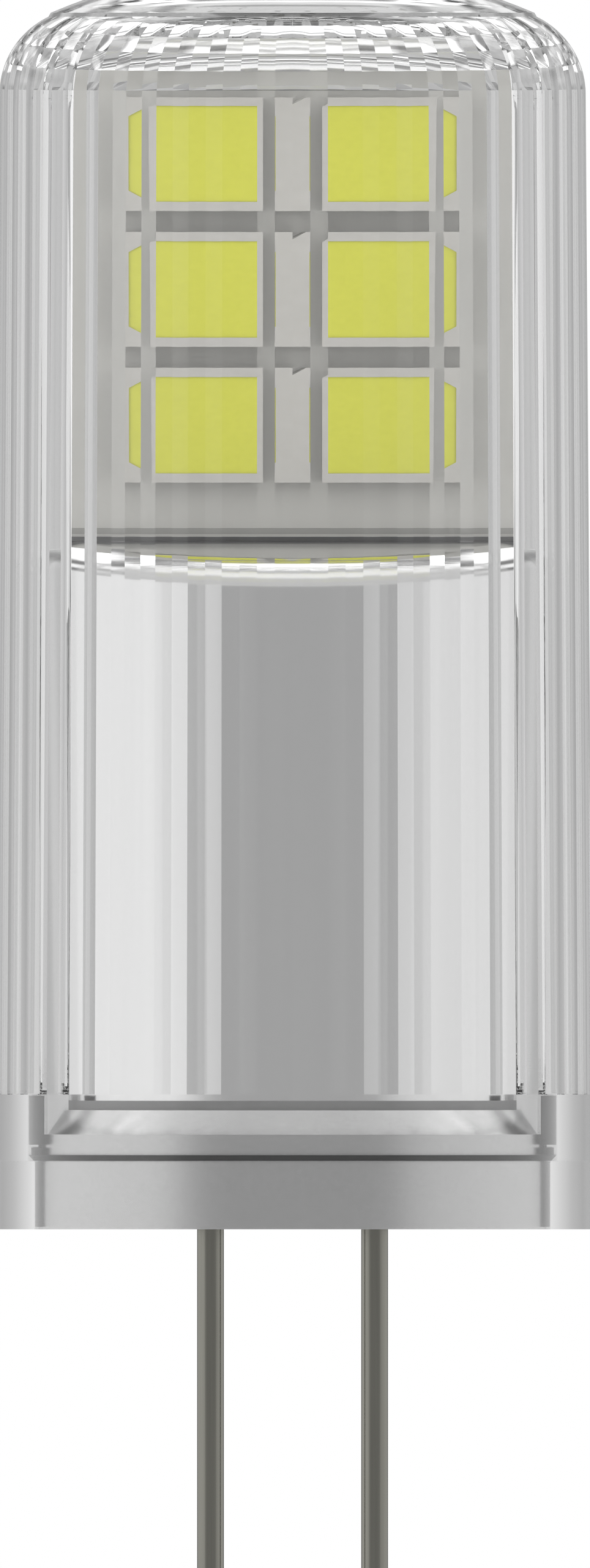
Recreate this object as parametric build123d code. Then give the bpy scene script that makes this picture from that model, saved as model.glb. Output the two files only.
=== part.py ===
from build123d import *
import math
import os

# Clear cover, outside
COVER_FOOT_R = 7.34
COVER_DRAFT = 0.40
HEAD_CLEAR = 2.84
CROWN_R = 15.0
SHOULDER_R = 2.1

# Clear cover, fluted inside
FLUTES = 48
FLUTE_DEPTH = 0.048
WALL_FOOT = 0.907
WALL_NECK = 0.834
CAVITY_FOOT_Z = 3.28
DOME_DROP = 3.64
DOME_LEAD_H = 0.52
DOME_LEAD = 0.018
DOME_INNER_R = 1.27
DOME_STEPS = 5

# Clear cover, mouth
MOUTH_WALL = 1.04
POCKET_WALL = 0.88
LEDGE_LOW_Z = 1.66
LEDGE_RISE = 0.13

# Base plug
PLUG_PLAY = 0.15
RING_TOP_Z = 2.3
NECK_SETBACK = 0.19
NECK_H = 0.59
NECK_TAPER = 0.4
SPIGOT_PLAY = 0.01
SPIGOT_H = 1.8
SPIGOT_WALL = 0.75
PLUG_FLOOR = 1.6

# Keys on both sides of the plug
KEY_W = 1.2
KEY_PLAY = 0.02
LUG_PLAY = 0.07
LUG_TOP_Z = 1.99
LUG_GAP = 0.05
TAB_PLAY = 0.02

# Sealing ring under the sleeve
SEAL_T = 0.23
SEAL_SETBACK = 0.1

# Wire pins
PIN_R = 0.33
PIN_SHANK_R = 0.3
PIN_PITCH = 4.0
PIN_FREE = 8.5
PIN_TIP_CHAMFER = 0.14

# Metal sleeve
SLEEVE_CLEAR = 0.95
SLEEVE_WALL = 0.5
SLEEVE_HEADROOM = 0.46
SLEEVE_BEVEL = 0.5
ROOF_LAND = 2.4
ROOF_SLOPE = 6.5
ROOF_BEND_R = 4.0
SLOT_PLAY = 0.05

# Insulating pad under the head of the board
PAD_W = 2.2
PAD_T = 0.1

# Circuit board
BOARD_T = 1.6
HEAD_SIDE_CLEAR = 1.216
HEAD_H = 11.14
TONGUE_W = 6.6
FOOT_PLAY = 1.4
PIN_SLOT_PLAY = 0.02
PIN_SLOT_H = 2.2

# LED packages
LED_W = 3.5
LED_H = 2.8
LED_T = 0.7
LED_MARK = 0.25
LED_GAP_X = 0.714
LED_GAP_Z = 0.51
LED_EDGE = 0.4
LED_ROWS = 3
FRAME_X = 0.295
FRAME_Z = 0.225
WINDOW_CORNER = 0.27
WINDOW_DEPTH = 0.45
FILL_SINK = 0.03

# Driver parts on the tongue of the board
PART_GAP = 0.5
RECTIFIER_W = 4.7
RECTIFIER_T = 2.3
RECTIFIER_H = 3.9
CHIP_W = 3.9
CHIP_T = 1.45
CHIP_H = 4.9
INDUCTOR_R = 2.3
INDUCTOR_T = 2.4
CAPACITOR_W = 3.2
CAPACITOR_T = 1.6
CAPACITOR_H = 1.6
RESISTOR_W = 1.6
RESISTOR_T = 0.5
RESISTOR_H = 0.8
CASE_BEVEL = 0.12

# Solder joints
JOINT_LAP = 0.4
JOINT_T = 0.3
JOINT_CHAMFER = 0.18
JOINT_FOOT = 0.3

# Levels that the sizes above give, from the floor of the plug up
neck_top_z = RING_TOP_Z + NECK_H
sleeve_foot_z = neck_top_z + SEAL_T
ledge_high_z = LEDGE_LOW_Z + LEDGE_RISE
tongue_foot_z = PLUG_FLOOR + FOOT_PLAY
pin_top_z = tongue_foot_z + PIN_SLOT_H
rectifier_z = pin_top_z + PART_GAP + RECTIFIER_H / 2
chip_z = rectifier_z + RECTIFIER_H / 2 + PART_GAP + CHIP_H / 2
resistor_z = pin_top_z + PART_GAP + RESISTOR_H / 2
capacitor_in_z = resistor_z + RESISTOR_H / 2 + PART_GAP + CAPACITOR_H / 2
capacitor_out_z = capacitor_in_z + CAPACITOR_H + PART_GAP
inductor_z = capacitor_out_z + CAPACITOR_H / 2 + PART_GAP + INDUCTOR_R
driver_top_z = max(chip_z + CHIP_H / 2, inductor_z + INDUCTOR_R)
sleeve_top_z = driver_top_z + SLEEVE_HEADROOM + SLEEVE_WALL
head_foot_z = sleeve_top_z + PAD_T
head_top_z = head_foot_z + HEAD_H
cover_top_z = head_top_z + HEAD_CLEAR
cavity_neck_z = cover_top_z - DOME_DROP

# Radii that the sizes above give, from the outside in
draft = math.tan(math.radians(COVER_DRAFT))
cavity_foot_r = COVER_FOOT_R - draft * CAVITY_FOOT_Z - WALL_FOOT
cavity_neck_r = COVER_FOOT_R - draft * cavity_neck_z - WALL_NECK
mouth_r = COVER_FOOT_R - MOUTH_WALL
pocket_r = COVER_FOOT_R - POCKET_WALL
plug_r = mouth_r - PLUG_PLAY
key_r = mouth_r - KEY_PLAY
lug_r = pocket_r - LUG_PLAY
tab_r = pocket_r - TAB_PLAY
sleeve_r = cavity_foot_r - SLEEVE_CLEAR
sleeve_bore_r = sleeve_r - SLEEVE_WALL
spigot_r = sleeve_bore_r - SPIGOT_PLAY
neck_foot_r = plug_r - NECK_SETBACK
neck_top_r = neck_foot_r - NECK_TAPER
seal_r = neck_top_r - SEAL_SETBACK
head_w = 2 * (cavity_neck_r - HEAD_SIDE_CLEAR)

os.makedirs("parts", exist_ok=True)


def save(solid, name):
    export_step(solid, f"parts/{name}.step")


def turned(points):
    return revolve(Plane.XZ * make_face(Polyline(*points, close=True)), Axis.Z)


# Clear cover: a moulded cap with a spherical crown, a round shoulder and a drafted side
crown_z = cover_top_z - CROWN_R
rim_r = COVER_FOOT_R - draft * cover_top_z
rim_z = crown_z + math.sqrt(CROWN_R**2 - rim_r**2)
half_turn = math.asin(rim_r / CROWN_R) / 2
crown_mid = (CROWN_R * math.sin(half_turn), crown_z + CROWN_R * math.cos(half_turn))
cover_outline = make_face([
    Line((0, 0), (COVER_FOOT_R, 0)),
    Line((COVER_FOOT_R, 0), (rim_r, rim_z)),
    ThreePointArc((rim_r, rim_z), crown_mid, (0, cover_top_z)),
    Line((0, cover_top_z), (0, 0)),
])
corner = cover_outline.vertices().sort_by_distance((rim_r, rim_z))[0]
cover = revolve(Plane.XZ * fillet(corner, SHOULDER_R), Axis.Z)


# One level of the fluted cavity: valleys and ridges by turns around a ring, a valley in front
def flute_ring(valley_r, z):
    ridge_r = valley_r * (1 - FLUTE_DEPTH / cavity_neck_r)
    corners = []
    for i in range(2 * FLUTES):
        turn = math.pi * i / FLUTES - math.pi / 2
        reach = valley_r if i % 2 == 0 else ridge_r
        corners.append(Vector(reach * math.cos(turn), reach * math.sin(turn), z))
    return corners


# The flutes run up the drafted wall, lean in a little and bend over the inner shoulder in flat steps
lead_r = cavity_neck_r - DOME_LEAD
lead_z = cavity_neck_z + DOME_LEAD_H
levels = [flute_ring(cavity_foot_r, CAVITY_FOOT_Z), flute_ring(cavity_neck_r, cavity_neck_z), flute_ring(lead_r, lead_z)]
for i in range(1, DOME_STEPS + 1):
    climb = math.radians(90 * i / DOME_STEPS)
    level_r = lead_r - DOME_INNER_R * (1 - math.cos(climb))
    level_z = lead_z + DOME_INNER_R * math.sin(climb)
    levels.append(flute_ring(level_r, level_z))

# Each flat of a flute between two levels is one plane face, and the rings at both ends close the cavity
flats = [make_face(Polyline(*levels[0], close=True)), make_face(Polyline(*levels[-1], close=True))]
for low, high in zip(levels, levels[1:]):
    for i in range(2 * FLUTES):
        flats.append(make_face(Polyline(low[i - 1], low[i], high[i], high[i - 1], close=True)))
cavity = Solid(Shell([flat.face() for flat in flats]))

# The mouth of the cover: a plain bore, a sloped ledge and a wider pocket for the snap lugs
mouth = turned([
    (0, 0),
    (mouth_r, 0),
    (mouth_r, LEDGE_LOW_Z),
    (pocket_r, ledge_high_z),
    (pocket_r, CAVITY_FOOT_Z),
    (0, CAVITY_FOOT_Z),
])
save(cover - mouth - cavity, "cover")

# Base plug: a moulded cup with a ring, a tapered neck and a spigot
plug = turned([
    (0, 0),
    (plug_r, 0),
    (plug_r, RING_TOP_Z),
    (neck_foot_r, RING_TOP_Z),
    (neck_top_r, neck_top_z),
    (spigot_r, neck_top_z),
    (spigot_r, neck_top_z + SPIGOT_H),
    (spigot_r - SPIGOT_WALL, neck_top_z + SPIGOT_H),
    (spigot_r - SPIGOT_WALL, PLUG_FLOOR),
    (0, PLUG_FLOOR),
])

# A key on each side of the plug: it fits the bore, has a lug that snaps over the ledge, and ends in a tab
ledge_slope = LEDGE_RISE / (pocket_r - mouth_r)
keys = turned([
    (neck_foot_r, 0),
    (key_r, 0),
    (key_r, LEDGE_LOW_Z - KEY_PLAY * ledge_slope),
    (lug_r, LEDGE_LOW_Z + (lug_r - mouth_r) * ledge_slope),
    (lug_r, LUG_TOP_Z),
    (plug_r, LUG_TOP_Z),
    (plug_r, LUG_TOP_Z + LUG_GAP),
    (tab_r, LUG_TOP_Z + LUG_GAP),
    (tab_r, CAVITY_FOOT_Z - TAB_PLAY),
    (plug_r, CAVITY_FOOT_Z - TAB_PLAY),
    (plug_r, RING_TOP_Z),
    (neck_foot_r, RING_TOP_Z),
])
plug += keys & Box(2 * COVER_FOOT_R, KEY_W, 2 * CAVITY_FOOT_Z)

# Wire pins: round wire with a soft tip and a thinner shank, which goes through the floor of the plug
pins = {}
for side, name in ((-1, "left"), (1, "right")):
    wire = Pos(0, 0, -PIN_FREE) * extrude(Circle(PIN_R), PIN_FREE)
    tip = wire.edges().filter_by(GeomType.CIRCLE).sort_by(Axis.Z)[0]
    shank = extrude(Circle(PIN_SHANK_R), pin_top_z)
    pins[name] = Pos(side * PIN_PITCH / 2, 0, 0) * (chamfer(tip, PIN_TIP_CHAMFER) + shank)
    plug -= pins[name]
    save(pins[name], f"pin_{name}")
save(plug, "base_plug")


# Sealing ring: a flat rubber ring around the spigot, on which the sleeve stands
save(turned([
    (spigot_r, neck_top_z),
    (seal_r, neck_top_z),
    (seal_r, sleeve_foot_z),
    (spigot_r, sleeve_foot_z),
]), "seal")

# Metal sleeve: a drawn cup, open below, whose top falls away from a level land to the front and to the rear
sleeve_h = sleeve_top_z - sleeve_foot_z
sleeve_place = Pos(0, 0, sleeve_foot_z)
eaves = sleeve_r + 1
fall = (eaves - ROOF_LAND / 2) * math.tan(math.radians(ROOF_SLOPE))
roof = make_face(Polyline(
    (-eaves, 0),
    (eaves, 0),
    (eaves, sleeve_h - fall),
    (ROOF_LAND / 2, sleeve_h),
    (-ROOF_LAND / 2, sleeve_h),
    (-eaves, sleeve_h - fall),
    close=True,
))
bends = [corner for corner in roof.vertices() if abs(corner.Y - sleeve_h) < 0.001]
roof = extrude(Plane.YZ * fillet(bends, ROOF_BEND_R), eaves, both=True)
sleeve = sleeve_place * (extrude(Circle(sleeve_r), sleeve_h) & roof)
sleeve_side = sleeve.faces().sort_by(SortBy.AREA)[-1]
sleeve_rim = [edge for edge in sleeve_side.edges() if edge.bounding_box().min.Z > sleeve_foot_z + sleeve_h / 2]
sleeve = chamfer(sleeve_rim, SLEEVE_BEVEL)
inside = extrude(Circle(sleeve_bore_r), sleeve_h - SLEEVE_WALL) & Pos(0, 0, -SLEEVE_WALL) * roof
sleeve -= sleeve_place * inside
sleeve -= Pos(0, 0, sleeve_top_z) * Box(TONGUE_W + 2 * SLOT_PLAY, BOARD_T + 2 * SLOT_PLAY, sleeve_h)
save(sleeve, "sleeve")

# Insulating pad: a thin strip on the sleeve's land, slotted for the board
pad = Pos(0, 0, sleeve_top_z + PAD_T / 2) * Box(head_w, PAD_W, PAD_T)
pad -= Pos(0, 0, sleeve_top_z) * Box(TONGUE_W + 2 * SLOT_PLAY, BOARD_T + 2 * SLOT_PLAY, sleeve_h)
save(pad, "pad")

# Circuit board: a wide head for the LEDs on a narrow tongue for the driver, slotted for the pins
tongue_h = head_foot_z - tongue_foot_z
board = Pos(0, 0, head_foot_z + HEAD_H / 2) * Box(head_w, BOARD_T, HEAD_H)
board += Pos(0, 0, tongue_foot_z + tongue_h / 2) * Box(TONGUE_W, BOARD_T, tongue_h)
pin_slot_w = 2 * (PIN_SHANK_R + PIN_SLOT_PLAY)
for side in (-1, 1):
    slot_place = Pos(side * PIN_PITCH / 2, 0, tongue_foot_z + PIN_SLOT_H / 2)
    board -= slot_place * Box(pin_slot_w, BOARD_T, PIN_SLOT_H)
save(board, "board")

# LED package lying on its back: a body with one cut corner, and a window with four
led_outline = make_face(Polyline(
    (-LED_W / 2, -LED_H / 2),
    (LED_W / 2, -LED_H / 2),
    (LED_W / 2, LED_H / 2),
    (-LED_W / 2 + LED_MARK, LED_H / 2),
    (-LED_W / 2, LED_H / 2 - LED_MARK),
    close=True,
))
window = chamfer(Rectangle(LED_W - 2 * FRAME_X, LED_H - 2 * FRAME_Z).vertices(), WINDOW_CORNER)
window_floor = Pos(0, 0, LED_T - WINDOW_DEPTH)
led = extrude(led_outline, LED_T) - window_floor * extrude(window, WINDOW_DEPTH)
phosphor = window_floor * extrude(window, WINDOW_DEPTH - FILL_SINK)

# Six packages on each face of the board, left column first, each from the top down
led_top_z = head_top_z - LED_EDGE - LED_H / 2
for face, turn in (("front", 0), ("rear", 180)):
    number = 0
    for column in (-1, 1):
        for row in range(LED_ROWS):
            number += 1
            led_x = column * (LED_W + LED_GAP_X) / 2
            led_z = led_top_z - row * (LED_H + LED_GAP_Z)
            place = Rot(0, 0, turn) * Pos(led_x, -BOARD_T / 2, led_z) * Rot(90, 0, 0)
            save(place * led, f"led_{face}_{number}")
            save(place * phosphor, f"phosphor_{face}_{number}")


# A driver part: a moulded block with its back on one face of the board
def block(width, thick, height, x, z, side):
    part = chamfer(Box(width, thick, height).edges().filter_by(Axis.Y), CASE_BEVEL)
    return Pos(x, side * (BOARD_T + thick) / 2, z) * part


# In front: the rectifier above the pins, then the driver chip
save(block(RECTIFIER_W, RECTIFIER_T, RECTIFIER_H, 0, rectifier_z, -1), "rectifier")
save(block(CHIP_W, CHIP_T, CHIP_H, 0, chip_z, -1), "driver_chip")

# Behind: two resistors side by side, two capacitors and a round shielded inductor
for number, side in ((1, -1), (2, 1)):
    resistor_x = side * (RESISTOR_W + PART_GAP) / 2
    save(block(RESISTOR_W, RESISTOR_T, RESISTOR_H, resistor_x, resistor_z, 1), f"resistor_{number}")
save(block(CAPACITOR_W, CAPACITOR_T, CAPACITOR_H, 0, capacitor_in_z, 1), "capacitor_in")
save(block(CAPACITOR_W, CAPACITOR_T, CAPACITOR_H, 0, capacitor_out_z, 1), "capacitor_out")
drum = Pos(0, BOARD_T / 2, inductor_z) * Rot(-90, 0, 0) * extrude(Circle(INDUCTOR_R), INDUCTOR_T)
save(drum, "inductor")

# Solder joints: each fills the slot in front of a pin and laps over the face of the board
joint_h = PIN_SLOT_H - JOINT_FOOT
joint_z = pin_top_z - joint_h / 2
for side, name in ((-1, "left"), (1, "right")):
    lap = Pos(0, -(BOARD_T + JOINT_T) / 2, joint_z) * Box(pin_slot_w + 2 * JOINT_LAP, JOINT_T, joint_h)
    lap = chamfer(lap.faces().sort_by(Axis.Y)[0].edges(), JOINT_CHAMFER)
    filling = Pos(0, -BOARD_T / 4, joint_z) * Box(pin_slot_w, BOARD_T / 2, joint_h)
    joint = Pos(side * PIN_PITCH / 2, 0, 0) * (lap + filling) - pins[name]
    save(joint, f"solder_{name}")
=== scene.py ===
import math
import bpy
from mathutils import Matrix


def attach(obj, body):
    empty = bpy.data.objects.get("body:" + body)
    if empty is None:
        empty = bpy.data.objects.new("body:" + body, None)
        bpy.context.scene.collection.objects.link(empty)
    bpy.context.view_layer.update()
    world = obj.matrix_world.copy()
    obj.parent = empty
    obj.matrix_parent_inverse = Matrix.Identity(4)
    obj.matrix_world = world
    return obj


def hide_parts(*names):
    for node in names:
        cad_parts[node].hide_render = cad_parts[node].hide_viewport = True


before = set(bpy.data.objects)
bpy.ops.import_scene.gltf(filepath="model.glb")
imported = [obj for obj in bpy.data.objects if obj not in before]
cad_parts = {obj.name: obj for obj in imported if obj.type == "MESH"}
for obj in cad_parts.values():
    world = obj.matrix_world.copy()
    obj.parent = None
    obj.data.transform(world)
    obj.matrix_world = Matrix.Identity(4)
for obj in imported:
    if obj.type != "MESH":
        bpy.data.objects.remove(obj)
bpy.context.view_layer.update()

# Circuit board. The real one is a strip of glass-fibre laminate under white solder mask, routed to a
# wide head for the LEDs and a narrow tongue that plugs down into the sleeve. The mask is screened on
# and baked, so it is satin, a little uneven, and the weave of the laminate just shows through it.
MASK_COLOUR = "#d2d1cc"
MASK_THIN = "#c6c5bf"
MASK_TRACK = "#a3a29d"
TRACK_Z = 17.0
TRACK_W = 0.15
MASK_CLOUD = 2.5
MASK_RELIEF = 0.02
WEAVE_PITCH = 0.45
WAVE_PERIOD = 0.314  # a wave texture of scale 1 repeats after this length
mm = 0.001


def linear(code):
    channels = [int(code[i:i + 2], 16) / 255 for i in (1, 3, 5)]
    return [c / 12.92 if c <= 0.04045 else ((c + 0.055) / 1.055) ** 2.4 for c in channels] + [1]


def add_node(tree, kind, inputs, **settings):
    node = tree.nodes.new(kind)
    for name, value in settings.items():
        setattr(node, name, value)
    for socket, value in inputs.items():
        if isinstance(value, bpy.types.NodeSocket):
            tree.links.new(value, node.inputs[socket])
        else:
            node.inputs[socket].default_value = value
    return node


def start_material(name, inputs):
    material = bpy.data.materials.new(name)
    material.use_nodes = True
    shader = material.node_tree.nodes["Principled BSDF"]
    for socket, value in inputs.items():
        shader.inputs[socket].default_value = value
    return material, material.node_tree, shader


def dress(names, material):
    for name in names:
        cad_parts[name].material_slots[0].material = material


mask, tree, shader = start_material("solder_mask", {"Roughness": 0.38, "IOR": 1.5})
place = add_node(tree, "ShaderNodeTexCoord", {}).outputs["Object"]
cloud = add_node(tree, "ShaderNodeTexNoise", {"Vector": place, "Scale": 1 / (MASK_CLOUD * mm), "Detail": 3})
tint = add_node(tree, "ShaderNodeMix", {0: cloud.outputs["Fac"], 6: linear(MASK_THIN),
                                        7: linear(MASK_COLOUR)}, data_type="RGBA")
upright = add_node(tree, "ShaderNodeSeparateXYZ", {0: place}).outputs["Z"]
track = add_node(tree, "ShaderNodeMath", {0: upright, 1: TRACK_Z * mm, 2: TRACK_W / 2 * mm},
                 operation="COMPARE")
shown = add_node(tree, "ShaderNodeMix", {0: track.outputs[0], 6: tint.outputs[2], 7: linear(MASK_TRACK)},
                 data_type="RGBA")
tree.links.new(shown.outputs[2], shader.inputs["Base Color"])
warp = add_node(tree, "ShaderNodeTexWave", {"Vector": place, "Scale": WAVE_PERIOD / (WEAVE_PITCH * mm)},
                bands_direction="X")
weft = add_node(tree, "ShaderNodeTexWave", {"Vector": place, "Scale": WAVE_PERIOD / (WEAVE_PITCH * mm)},
                bands_direction="Z")
weave = add_node(tree, "ShaderNodeMath", {0: warp.outputs["Fac"], 1: weft.outputs["Fac"]},
                 operation="MAXIMUM")
relief = add_node(tree, "ShaderNodeBump", {"Height": weave.outputs[0], "Strength": 0.12,
                                           "Distance": MASK_RELIEF * mm})
tree.links.new(relief.outputs[0], shader.inputs["Normal"])
dress(["board"], mask)

# LED packages. Each is a lead frame moulded into opaque white resin, a low box with one corner cut to
# mark polarity, soldered flat on the board. The resin is filled with titania, so it is matt and faintly
# grained, and it scatters light.
RESIN_COLOUR = "#cdcbc6"
RESIN_DEEP = "#c3c1bb"
RESIN_GRAIN = 0.25
RESIN_RELIEF = 0.02
LED_NODES = [f"led_{face}_{number}" for face in ("front", "rear") for number in range(1, 7)]

resin, tree, shader = start_material("led_resin", {"Roughness": 0.5, "IOR": 1.5})
place = add_node(tree, "ShaderNodeTexCoord", {}).outputs["Object"]
grain = add_node(tree, "ShaderNodeTexNoise", {"Vector": place, "Scale": 1 / (RESIN_GRAIN * mm), "Detail": 2})
tint = add_node(tree, "ShaderNodeMix", {0: grain.outputs["Fac"], 6: linear(RESIN_DEEP),
                                        7: linear(RESIN_COLOUR)}, data_type="RGBA")
tree.links.new(tint.outputs[2], shader.inputs["Base Color"])
relief = add_node(tree, "ShaderNodeBump", {"Height": grain.outputs["Fac"], "Strength": 0.1,
                                           "Distance": RESIN_RELIEF * mm})
tree.links.new(relief.outputs[0], shader.inputs["Normal"])
dress(LED_NODES, resin)

# Phosphor filling. Clear silicone loaded with yellow phosphor powder is poured into the window of each
# package and cured, a hair below the rim. It shows an even lemon yellow with the faint speckle of the
# powder under a soft gloss.
PHOSPHOR_COLOUR = "#e1e350"
PHOSPHOR_SPECK = "#d8da46"
POWDER_SPECK = 0.12
PHOSPHOR_NODES = [f"phosphor_{face}_{number}" for face in ("front", "rear") for number in range(1, 7)]

filling, tree, shader = start_material("phosphor_silicone", {"Roughness": 0.35, "IOR": 1.41})
place = add_node(tree, "ShaderNodeTexCoord", {}).outputs["Object"]
speck = add_node(tree, "ShaderNodeTexNoise", {"Vector": place, "Scale": 1 / (POWDER_SPECK * mm), "Detail": 2})
tint = add_node(tree, "ShaderNodeMix", {0: speck.outputs["Fac"], 6: linear(PHOSPHOR_SPECK),
                                        7: linear(PHOSPHOR_COLOUR)}, data_type="RGBA")
tree.links.new(tint.outputs[2], shader.inputs["Base Color"])
dress(PHOSPHOR_NODES, filling)

# Driver parts. Rectifier and chip are moulded in black epoxy, the inductor is a pressed ferrite drum,
# the capacitors are fired ceramic and the resistors are coated chips, all soldered to the tongue of the
# board, out of sight in the sleeve.
DRIVER_RELIEF = 0.02

for slot, dark, light, rough, size, nodes in (
    ("moulded_epoxy", "#161616", "#242424", 0.55, 0.15, ["rectifier", "driver_chip"]),
    ("pressed_ferrite", "#2a2928", "#3b3a38", 0.7, 0.3, ["inductor"]),
    ("fired_ceramic", "#9a7a52", "#b08e62", 0.45, 0.5, ["capacitor_in", "capacitor_out"]),
    ("coated_chip", "#1c1d20", "#2a2b2f", 0.35, 0.3, ["resistor_1", "resistor_2"]),
):
    body, tree, shader = start_material(slot, {"Roughness": rough})
    place = add_node(tree, "ShaderNodeTexCoord", {}).outputs["Object"]
    grain = add_node(tree, "ShaderNodeTexNoise", {"Vector": place, "Scale": 1 / (size * mm), "Detail": 4})
    tint = add_node(tree, "ShaderNodeMix", {0: grain.outputs["Fac"], 6: linear(dark), 7: linear(light)},
                    data_type="RGBA")
    tree.links.new(tint.outputs[2], shader.inputs["Base Color"])
    relief = add_node(tree, "ShaderNodeBump", {"Height": grain.outputs["Fac"], "Strength": 0.2,
                                               "Distance": DRIVER_RELIEF * mm})
    tree.links.new(relief.outputs[0], shader.inputs["Normal"])
    dress(nodes, body)

# Pins and their solder. Each pin is drawn copper wire with a tinned skin, pressed through the floor of
# the plug and soldered into a slot of the board. The tin is bright with faint lines from the die along it.
TIN_COLOUR = "#94938b"
TIN_LINE = "#86857e"
DIE_LINE = 0.08
SOLDER_COLOUR = "#c4c4c2"
SOLDER_FROST = "#a6a6a4"
FROST_SIZE = 0.3

tin, tree, shader = start_material("tinned_wire", {"Metallic": 1, "Roughness": 0.16})
place = add_node(tree, "ShaderNodeTexCoord", {}).outputs["Object"]
stretch = add_node(tree, "ShaderNodeMapping", {"Vector": place, "Scale": (1, 1, 0.02)})
line = add_node(tree, "ShaderNodeTexNoise", {"Vector": stretch.outputs[0], "Scale": 1 / (DIE_LINE * mm),
                                             "Detail": 2})
tint = add_node(tree, "ShaderNodeMix", {0: line.outputs["Fac"], 6: linear(TIN_LINE), 7: linear(TIN_COLOUR)},
                data_type="RGBA")
tree.links.new(tint.outputs[2], shader.inputs["Base Color"])
dress(["pin_left", "pin_right"], tin)

joint, tree, shader = start_material("tin_solder", {"Metallic": 1, "Roughness": 0.3})
place = add_node(tree, "ShaderNodeTexCoord", {}).outputs["Object"]
frost = add_node(tree, "ShaderNodeTexNoise", {"Vector": place, "Scale": 1 / (FROST_SIZE * mm), "Detail": 3})
tint = add_node(tree, "ShaderNodeMix", {0: frost.outputs["Fac"], 6: linear(SOLDER_FROST),
                                        7: linear(SOLDER_COLOUR)}, data_type="RGBA")
tree.links.new(tint.outputs[2], shader.inputs["Base Color"])
dress(["solder_left", "solder_right"], joint)

# Base plug. A moulded cup of plastic with a bright silver coat, pushed into the mouth of the cover, where
# two keys at its sides hold it. The coat mirrors the light softly and spreads it, so the tone rolls off
# from the middle to the sides.
PLUG_COLOUR = "#d4d4d4"
PLUG_DEEP = "#cacaca"
FLAKE_SIZE = 0.1

silver, tree, shader = start_material("silver_plastic", {"Metallic": 1, "Roughness": 0.26})
place = add_node(tree, "ShaderNodeTexCoord", {}).outputs["Object"]
flake = add_node(tree, "ShaderNodeTexNoise", {"Vector": place, "Scale": 1 / (FLAKE_SIZE * mm), "Detail": 2})
tint = add_node(tree, "ShaderNodeMix", {0: flake.outputs["Fac"], 6: linear(PLUG_DEEP),
                                        7: linear(PLUG_COLOUR)}, data_type="RGBA")
tree.links.new(tint.outputs[2], shader.inputs["Base Color"])
dress(["base_plug"], silver)

# Ring under the sleeve and pad under the board, both painted shade. The sleeve stands on a flat grey ring
# around the plug's spigot, a painted shadow for the dark gap there, and a strip of black sheet parts the
# metal from the foot of the board's head, a painted shadow for the dark gap at that foot.
SHADE_RING_COLOUR = "#7c7c7c"
SHADE_RING_BLOOM = "#868686"
BLOOM_SIZE = 0.6
SHADE_SHEET_COLOUR = "#3a3a3a"
SHADE_SHEET_FIBRE = "#464646"
FIBRE_SIZE = 0.2

# painted shade: the ring's grey stands for the shadowed gap between plug and sleeve
shade_ring, tree, shader = start_material("painted_shade_ring", {"Roughness": 0.75})
place = add_node(tree, "ShaderNodeTexCoord", {}).outputs["Object"]
bloom = add_node(tree, "ShaderNodeTexNoise", {"Vector": place, "Scale": 1 / (BLOOM_SIZE * mm), "Detail": 4})
tint = add_node(tree, "ShaderNodeMix", {0: bloom.outputs["Fac"], 6: linear(SHADE_RING_COLOUR),
                                        7: linear(SHADE_RING_BLOOM)}, data_type="RGBA")
tree.links.new(tint.outputs[2], shader.inputs["Base Color"])
dress(["seal"], shade_ring)

# painted shade: the sheet's near-black stands for the shadow at the foot of the board
shade_sheet, tree, shader = start_material("painted_shade_sheet", {"Roughness": 0.6})
place = add_node(tree, "ShaderNodeTexCoord", {}).outputs["Object"]
fibre = add_node(tree, "ShaderNodeTexNoise", {"Vector": place, "Scale": 1 / (FIBRE_SIZE * mm), "Detail": 3})
tint = add_node(tree, "ShaderNodeMix", {0: fibre.outputs["Fac"], 6: linear(SHADE_SHEET_COLOUR),
                                        7: linear(SHADE_SHEET_FIBRE)}, data_type="RGBA")
tree.links.new(tint.outputs[2], shader.inputs["Base Color"])
dress(["pad"], shade_sheet)

# Metal sleeve. A cup drawn from thin aluminium sheet and polished, open below, where it stands on the
# grey ring of painted shade. Its top falls away from a level land to the front and to the rear, with a rolled
# edge and a slot that the board passes through.
SLEEVE_R = 5.46
SLEEVE_FOOT = 3.12
SLEEVE_TOP = 16.76
SLEEVE_ROUND = 0.7
SLEEVE_WALL = 0.5
SLEEVE_AROUND = 256
RIM_STEPS = 24
ROOF_LAND = 2.4
ROOF_SLOPE = 6.5
SLOT_LONG = 6.7
SLOT_WIDE = 1.7
CAGE_LANDS = 7
CAGE_RADII = 2.5
CREASE = math.radians(5)
ALUMINIUM_COLOUR = "#f0f0f0"
ALUMINIUM_LINE = "#e8e8e8"
POLISH_LINE = 0.4


def add_ring(name, around, radius, height):
    bpy.ops.object.select_all(action="DESELECT")
    bpy.ops.mesh.primitive_circle_add(vertices=around, radius=radius * mm)
    piece = bpy.context.object
    piece.name = name
    bpy.ops.object.mode_set(mode="EDIT")
    bpy.ops.mesh.select_mode(type="VERT")
    bpy.ops.mesh.select_all(action="SELECT")
    bpy.ops.transform.translate(value=(0, 0, height * mm))
    return piece


def draw_out(start, profile):
    radius, height = start
    for new_radius, new_height in profile:
        bpy.ops.mesh.extrude_edges_move(TRANSFORM_OT_translate={"value": (0, 0, (new_height - height) * mm)})
        scale = new_radius / radius
        bpy.ops.transform.resize(value=(scale, scale, 1), center_override=(0, 0, 0))
        radius, height = new_radius, new_height


def arc(centre, radius, first, last, steps):
    turns = [math.radians(first + (last - first) * i / steps) for i in range(1, steps + 1)]
    return [(centre[0] + radius * math.cos(t), centre[1] + radius * math.sin(t)) for t in turns]


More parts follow.
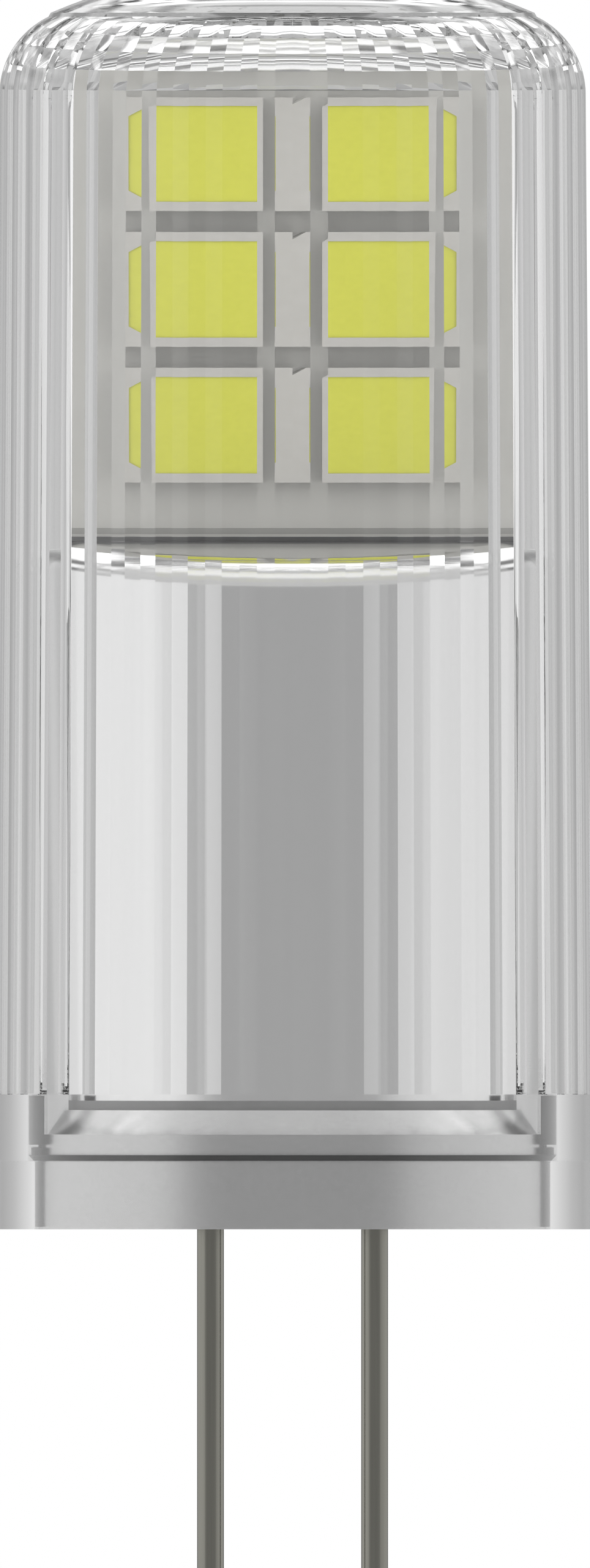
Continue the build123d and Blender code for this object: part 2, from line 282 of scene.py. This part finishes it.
def choose(piece, test):
    bpy.ops.object.mode_set(mode="OBJECT")
    for vertex in piece.data.vertices:
        vertex.select = False
    for edge in piece.data.edges:
        edge.select = False
    for polygon in piece.data.polygons:
        polygon.select = test(polygon.center)
    bpy.ops.object.mode_set(mode="EDIT")


sleeve = add_ring("polished_sleeve", SLEEVE_AROUND, SLEEVE_R, SLEEVE_FOOT)
bpy.ops.mesh.select_mode(type="EDGE")
rim = arc((SLEEVE_R - SLEEVE_ROUND, SLEEVE_TOP - SLEEVE_ROUND), SLEEVE_ROUND, 0, 90, RIM_STEPS)
draw_out((SLEEVE_R, SLEEVE_FOOT), [(SLEEVE_R, SLEEVE_TOP - SLEEVE_ROUND)] + rim)
bpy.ops.mesh.edge_face_add()

# the level top is scored along both edges of the land and around the slot, which is then cut out
level_top = (SLEEVE_TOP - 0.001) * mm
for side in (-1, 1):
    for across, reach in (((0, 1, 0), ROOF_LAND), ((1, 0, 0), SLOT_LONG), ((0, 1, 0), SLOT_WIDE)):
        bpy.ops.mesh.select_mode(type="FACE")
        choose(sleeve, lambda c: c.z > level_top)
        point = [side * reach / 2 * mm * part for part in across]
        bpy.ops.mesh.bisect(plane_co=point, plane_no=across)
bpy.ops.mesh.select_mode(type="FACE")
choose(sleeve, lambda c: c.z > level_top and abs(c.x) < SLOT_LONG / 2 * mm and abs(c.y) < SLOT_WIDE / 2 * mm)
bpy.ops.mesh.delete(type="FACE")
bpy.ops.mesh.select_all(action="SELECT")
bpy.ops.mesh.normals_make_consistent(inside=False)
bpy.ops.object.mode_set(mode="OBJECT")

# a cage, some lands wide and straight between its points, presses the top down on both sides
bpy.ops.object.add(type="LATTICE", location=(0, 0, (SLEEVE_FOOT + SLEEVE_TOP) / 2 * mm))
cage = bpy.context.object
cage.scale = (CAGE_RADII * SLEEVE_R * mm, CAGE_LANDS * ROOF_LAND * mm, (SLEEVE_TOP - SLEEVE_FOOT) * mm)
cage.data.points_u, cage.data.points_v, cage.data.points_w = 2, CAGE_LANDS + 1, 2
for axis in "uvw":
    setattr(cage.data, f"interpolation_type_{axis}", "KEY_LINEAR")
for point in cage.data.points:
    away = abs(point.co.y) * CAGE_LANDS * ROOF_LAND - ROOF_LAND / 2
    if point.co.z > 0:
        point.co_deform.z -= away * math.tan(math.radians(ROOF_SLOPE)) / (SLEEVE_TOP - SLEEVE_FOOT)
bpy.ops.object.select_all(action="DESELECT")
sleeve.select_set(True)
bpy.context.view_layer.objects.active = sleeve
press = sleeve.modifiers.new("press", "LATTICE")
press.object = cage
bpy.ops.object.modifier_apply(modifier="press")
bpy.data.objects.remove(cage)
wall = sleeve.modifiers.new("wall", "SOLIDIFY")
wall.thickness = SLEEVE_WALL * mm
wall.offset = -1
bpy.ops.object.modifier_apply(modifier="wall")
bpy.ops.object.shade_smooth_by_angle(angle=CREASE)

polished, tree, shader = start_material("polished_aluminium", {"Metallic": 1, "Roughness": 0.12})
place = add_node(tree, "ShaderNodeTexCoord", {}).outputs["Object"]
stretch = add_node(tree, "ShaderNodeMapping", {"Vector": place, "Scale": (1, 1, 0.01)})
line = add_node(tree, "ShaderNodeTexNoise", {"Vector": stretch.outputs[0], "Scale": 1 / (POLISH_LINE * mm),
                                             "Detail": 2})
tint = add_node(tree, "ShaderNodeMix", {0: line.outputs["Fac"], 6: linear(ALUMINIUM_LINE),
                                        7: linear(ALUMINIUM_COLOUR)}, data_type="RGBA")
tree.links.new(tint.outputs[2], shader.inputs["Base Color"])
sleeve.data.materials.append(polished)
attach(sleeve, "root")
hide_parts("sleeve")

# Side strips. Two upright strips of rubber stand in the gap between plug and cover, left and right,
# stepped as the mouth, ledge and pocket are, and keep the plug from rattling. Their black is painted shade, a
# dark tone standing for the shade in that gap, and it shows through the wall.
STRIP_IN_R = 6.14
STRIP_FOOT = 0.05
STRIP_TOP = 3.24
STRIP_FROM = math.radians(72)
STRIP_TO = math.radians(76)
# radius and height of the outer side, up through mouth, ledge and pocket
STRIP_STEPS = ((6.28, STRIP_FOOT), (6.28, 1.6), (6.37, 1.82), (6.37, 1.98), (6.2, 1.98), (6.2, 2.05),
               (6.43, 2.05), (6.43, STRIP_TOP), (STRIP_IN_R, STRIP_TOP), (STRIP_IN_R, STRIP_FOOT))
TRIM_AROUND = 192
MERGE = 1e-6
SHADE_BLACK = "#161616"
SHADE_BLACK_BLOOM = "#1e1e1e"
BLACK_GRAIN = 0.2

strips = add_ring("side_strips", TRIM_AROUND, STRIP_IN_R, STRIP_FOOT)
bpy.ops.mesh.select_mode(type="EDGE")
draw_out((STRIP_IN_R, STRIP_FOOT), STRIP_STEPS)
bpy.ops.mesh.select_all(action="SELECT")
bpy.ops.mesh.remove_doubles(threshold=MERGE)
# two cuts through the axis leave one strip of the ring, which is then mirrored to the other side
for turn, side in ((STRIP_FROM, -1), (STRIP_TO, 1)):
    bpy.ops.mesh.select_all(action="SELECT")
    bpy.ops.mesh.bisect(plane_co=(0, 0, 0), plane_no=(side * math.cos(turn), side * math.sin(turn), 0),
                        use_fill=True, clear_outer=True)
bpy.ops.mesh.select_all(action="SELECT")
bpy.ops.mesh.duplicate()
bpy.ops.transform.resize(value=(-1, 1, 1), center_override=(0, 0, 0))
bpy.ops.mesh.select_all(action="SELECT")
bpy.ops.mesh.normals_make_consistent(inside=False)
bpy.ops.object.mode_set(mode="OBJECT")
bpy.ops.object.shade_smooth_by_angle(angle=CREASE)

# painted shade: this near-black stands for the shade in the gap beside the plug and at the ledge
shade_black, tree, shader = start_material("painted_shade_black", {"Roughness": 0.7})
place = add_node(tree, "ShaderNodeTexCoord", {}).outputs["Object"]
bloom = add_node(tree, "ShaderNodeTexNoise", {"Vector": place, "Scale": 1 / (BLACK_GRAIN * mm), "Detail": 2})
tint = add_node(tree, "ShaderNodeMix", {0: bloom.outputs["Fac"], 6: linear(SHADE_BLACK),
                                        7: linear(SHADE_BLACK_BLOOM)}, data_type="RGBA")
tree.links.new(tint.outputs[2], shader.inputs["Base Color"])
strips.data.materials.append(shade_black)
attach(strips, "root")

# Painted shade line. A tapered lip of the same black runs round the plug and lies on the ledge in the mouth
# of the cover. It shows through the wall as a thin dark line from side to side, a painted shadow for the dark
# seam at the ledge.
BEAD_FOOT = 1.66
BEAD_TOP = 1.80
BEAD_START = (6.31, BEAD_FOOT)
BEAD_STEPS = ((6.44, BEAD_TOP), (STRIP_IN_R, BEAD_TOP), (STRIP_IN_R, BEAD_FOOT), BEAD_START)

# painted shade: this black lip stands for the shadowed seam at the ledge
shade_bead = add_ring("painted_shade_bead", TRIM_AROUND, *BEAD_START)
bpy.ops.mesh.select_mode(type="EDGE")
draw_out(BEAD_START, BEAD_STEPS)
bpy.ops.mesh.select_all(action="SELECT")
bpy.ops.mesh.remove_doubles(threshold=MERGE)
bpy.ops.mesh.normals_make_consistent(inside=False)
bpy.ops.object.mode_set(mode="OBJECT")
bpy.ops.object.shade_smooth_by_angle(angle=CREASE)
shade_bead.data.materials.append(shade_black)
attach(shade_bead, "root")

# Clear cover. One moulding of clear polycarbonate with a smooth crowned outside. Inside, upright V
# flutes run round the wall and bend over under the crown, and below them the mouth has the ledge and
# pocket that the plug snaps into.
COVER_FOOT_R = 7.34
COVER_DRAFT = 0.40
COVER_TOP = 30.84
CROWN_R = 15.0
SHOULDER_R = 2.1
MOUTH_R = 6.30
POCKET_R = 6.46
LEDGE_LOW = 1.65
LEDGE_HIGH = 1.66
FLUTES = 48
FLUTE_POINTS = 6
FLUTE_DEPTH = 0.048
FLUTE_FOOT = (6.41, 3.28)
FLUTE_NECK = (6.316, 27.2)
DOME_LEAD = (6.298, 27.72)
DOME_INNER_R = 1.27
DOME_STEPS = 5
CROWN_STEPS = 12
SHOULDER_STEPS = 28
POLE_R = 0.4
COVER_CLEAR = "#ffffff"
ABSORB_COLOUR = "#8f918f"
ABSORB_DENSITY = 10.0

draft = math.tan(math.radians(COVER_DRAFT))
lean = math.radians(COVER_DRAFT)
crown_z = COVER_TOP - CROWN_R
# the shoulder's centre lies one radius inside the drafted side and inside the crown
reach = CROWN_R - SHOULDER_R
foot = COVER_FOOT_R - SHOULDER_R / math.cos(lean)
base = foot - draft * crown_z
rise = (-draft * base + math.sqrt((1 + draft ** 2) * reach ** 2 - base ** 2)) / (1 + draft ** 2)
shoulder = (base - draft * rise, crown_z + rise)
bend = math.degrees(math.atan2(rise, shoulder[0]))

pole_z = crown_z + math.sqrt(CROWN_R ** 2 - POLE_R ** 2)
cover = add_ring("clear_cover", FLUTE_POINTS * FLUTES, POLE_R, pole_z)
bpy.ops.mesh.select_mode(type="EDGE")
outside = arc((0, crown_z), CROWN_R, math.degrees(math.acos(POLE_R / CROWN_R)), bend, CROWN_STEPS)
outside += arc(shoulder, SHOULDER_R, bend, COVER_DRAFT, SHOULDER_STEPS)
mouth = [(COVER_FOOT_R, 0), (MOUTH_R, 0), (MOUTH_R, LEDGE_LOW), (POCKET_R, LEDGE_HIGH),
         (POCKET_R, FLUTE_FOOT[1])]
draw_out((POLE_R, pole_z), outside + mouth + [FLUTE_FOOT])


def at_flute_foot(point):
    return abs(point.z - FLUTE_FOOT[1] * mm) < 1e-7 and point.xy.length < (POCKET_R - 0.01) * mm


# the ring at the foot of the flutes is pressed in to ridges, with two points on each flat between
half_flute = math.pi / FLUTES
half_points = FLUTE_POINTS // 2
valley, ridge = FLUTE_NECK[0], FLUTE_NECK[0] - FLUTE_DEPTH
for step in range(1, half_points + 1):
    turn = half_flute * step / half_points
    flat = ridge * math.sin(half_flute) / (valley * math.sin(turn) + ridge * math.sin(half_flute - turn))
    bpy.ops.object.mode_set(mode="OBJECT")
    for vertex in cover.data.vertices:
        place = round(math.atan2(vertex.co.x, -vertex.co.y) / half_flute * half_points) % FLUTE_POINTS
        vertex.select = at_flute_foot(vertex.co) and place in (step, FLUTE_POINTS - step)
    for edge in cover.data.edges:
        edge.select = False
    bpy.ops.object.mode_set(mode="EDIT")
    bpy.ops.mesh.select_mode(type="VERT")
    bpy.ops.transform.resize(value=(flat, flat, 1), center_override=(0, 0, 0))
bpy.ops.mesh.select_mode(type="EDGE")
bpy.ops.mesh.select_all(action="DESELECT")
bpy.ops.object.mode_set(mode="OBJECT")
for edge in cover.data.edges:
    edge.select = all(at_flute_foot(cover.data.vertices[end].co) for end in edge.vertices)
bpy.ops.object.mode_set(mode="EDIT")
dome = arc((DOME_LEAD[0] - DOME_INNER_R, DOME_LEAD[1]), DOME_INNER_R, 0, 90, DOME_STEPS)
draw_out(FLUTE_FOOT, [FLUTE_NECK, DOME_LEAD] + dome)
bpy.ops.mesh.select_all(action="SELECT")
bpy.ops.mesh.fill_holes(sides=0)
bpy.ops.mesh.normals_make_consistent(inside=False)
bpy.ops.object.mode_set(mode="OBJECT")
bpy.ops.object.shade_smooth_by_angle(angle=CREASE)

# polished clear resin: no pattern on its surface, and a grey cast that deepens with the length of its wall
clear, tree, shader = start_material("clear_polycarbonate", {
    "Base Color": linear(COVER_CLEAR), "Transmission Weight": 1, "IOR": 1.585, "Roughness": 0.0})
absorb = add_node(tree, "ShaderNodeVolumeAbsorption", {"Color": linear(ABSORB_COLOUR),
                                                       "Density": ABSORB_DENSITY})
tree.links.new(absorb.outputs[0], tree.nodes["Material Output"].inputs["Volume"])
cover.data.materials.append(clear)
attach(cover, "root")
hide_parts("cover")

# Studio. The bulb hangs in a white light tent over a pale table, in front of a plain white ground. The tent
# is open towards the camera, has strip lights behind the bulb and a panel overhead, so bright metal shows
# a darker stripe and the facets of the dome sort light from dark. Matt surfaces get one plain level.
PLAIN_LEVEL = 1.45
TENT_PARTS = (
    # the upright walls, by the angle round the bulb from the camera, in degrees
    ("walls", "azimuth", (
        (-180, 0.55), (-165, 0.34), (-150, 0.48), (-135, 0.7), (-120, 0.95), (-90, 0.96), (-62, 0.92),
        (-51, 0.78), (-43, 0.53), (-34, 0.44), (-28, 0.42), (28, 0.42), (42, 0.455), (50, 0.63), (64, 0.77),
        (90, 0.86), (120, 0.9), (135, 0.7), (150, 0.48), (165, 0.34), (180, 0.55))),
    # strip lights behind the bulb and the table, walls and roof elsewhere, by the angle over the horizon
    ("strips", "elevation", (
        (-90, 0.06), (-32, 0.06), (-26, 1.6), (-18, 1.6), (-16, 0.5), (-10, 0.5), (-7, 0.58), (7, 0.58),
        (9, 0.14), (14, 0.14), (16, 1.2), (20, 1.2), (22, 0.1), (26, 0.1), (28, 1.6), (33, 1.6), (35, 0.5),
        (36, 0.5), (38, 2.0), (48, 2.0), (52, 0.08), (62, 0.08), (66, 1.5), (90, 1.5))),
    ("room", "elevation", (
        (-90, 0.5), (-16, 0.5), (-8, 0.6), (38, 0.7), (46, 1.15), (58, 1.15), (63, 0.78), (71, 0.78),
        (75, 1.5), (90, 1.5))),
    # how far round the strip lights reach, below and above the horizon
    ("reach_low", "aside", ((0, 0.0), (148, 0.0), (156, 1.0), (180, 1.0))),
    ("reach_high", "aside", ((0, 0.0), (104, 0.0), (118, 1.0), (180, 1.0))),
    ("above", "elevation", ((-90, 0.0), (-3, 0.0), (3, 1.0), (90, 1.0))),
    ("off_level", "elevation", ((-90, 1.0), (-11, 1.0), (-7, 0.0), (7, 0.0), (11, 1.0), (90, 1.0))),
)

scene = bpy.context.scene
tent = bpy.data.worlds.new("light_tent")
tent.use_nodes = True
scene.world = tent
tree = tent.node_tree
tree.nodes.clear()
way = add_node(tree, "ShaderNodeTexCoord", {}).outputs["Generated"]
axes = add_node(tree, "ShaderNodeSeparateXYZ", {0: way})
toward = add_node(tree, "ShaderNodeMath", {0: axes.outputs["Y"], 1: -1.0}, operation="MULTIPLY")
angles = {
    "azimuth": add_node(tree, "ShaderNodeMath", {0: axes.outputs["X"], 1: toward.outputs[0]},
                        operation="ARCTAN2").outputs[0],
    "elevation": add_node(tree, "ShaderNodeMath", {0: axes.outputs["Z"]}, operation="ARCSINE").outputs[0],
}
angles["aside"] = add_node(tree, "ShaderNodeMath", {0: angles["azimuth"]}, operation="ABSOLUTE").outputs[0]
part = {}
for name, angle, stops in TENT_PARTS:
    first, last = stops[0][0], stops[-1][0]
    share = add_node(tree, "ShaderNodeMapRange", {"Value": angles[angle], "From Min": math.radians(first),
                                                  "From Max": math.radians(last)})
    ramp = add_node(tree, "ShaderNodeValToRGB", {0: share.outputs[0]})
    for turn, value in stops[1:-1]:
        ramp.color_ramp.elements.new((turn - first) / (last - first))
    for element, (turn, value) in zip(ramp.color_ramp.elements, stops):
        element.color = (value, value, value, 1)
    part[name] = ramp.outputs[0]

behind = add_node(tree, "ShaderNodeMix", {0: part["above"], 6: part["reach_low"], 7: part["reach_high"]},
                  data_type="RGBA").outputs[2]
level = add_node(tree, "ShaderNodeMix", {0: behind, 6: part["room"], 7: part["strips"]},
                 data_type="RGBA").outputs[2]
level = add_node(tree, "ShaderNodeMix", {0: part["off_level"], 6: part["walls"], 7: level},
                 data_type="RGBA").outputs[2]
seen = add_node(tree, "ShaderNodeLightPath", {})
matt = add_node(tree, "ShaderNodeMath", {0: seen.outputs["Diffuse Depth"], 1: 0.5}, operation="GREATER_THAN")
level = add_node(tree, "ShaderNodeMix", {0: matt.outputs[0], 6: level, 7: [PLAIN_LEVEL] * 3 + [1]},
                 data_type="RGBA").outputs[2]
inside = add_node(tree, "ShaderNodeBackground", {"Color": level, "Strength": 1.0})
white = add_node(tree, "ShaderNodeBackground", {"Color": (1, 1, 1, 1), "Strength": 1.0})
both = add_node(tree, "ShaderNodeMixShader", {0: seen.outputs["Is Camera Ray"], 1: inside.outputs[0],
                                              2: white.outputs[0]})
add_node(tree, "ShaderNodeOutputWorld", {0: both.outputs[0]})

# Camera. It stands level in front, far off, so nothing converges. The picture's size, the bulb's axis and
# the foot of the base are in pixels of the picture.
PICTURE_WIDE = 964
PICTURE_HIGH = 2560
AXIS_ACROSS = 478
FOOT_DOWN = 2007
PIXEL = 1 / 67.03 * mm
DISTANCE = 0.3
BOUNCES = 128  # light crosses many walls of the fluted cover before it leaves

eye = bpy.data.cameras.new("eye")
eye.type = "ORTHO"
eye.ortho_scale = PICTURE_HIGH * PIXEL
camera = bpy.data.objects.new("eye", eye)
camera.location = ((PICTURE_WIDE / 2 - AXIS_ACROSS) * PIXEL, -DISTANCE,
                   (FOOT_DOWN - PICTURE_HIGH / 2) * PIXEL)
camera.rotation_euler = (math.radians(90), 0, 0)
scene.collection.objects.link(camera)
scene.camera = camera

scene.view_settings.view_transform = "Standard"
scene.cycles.max_bounces = BOUNCES
scene.cycles.transmission_bounces = BOUNCES
scene.cycles.glossy_bounces = BOUNCES
scene.cycles.diffuse_bounces = 1
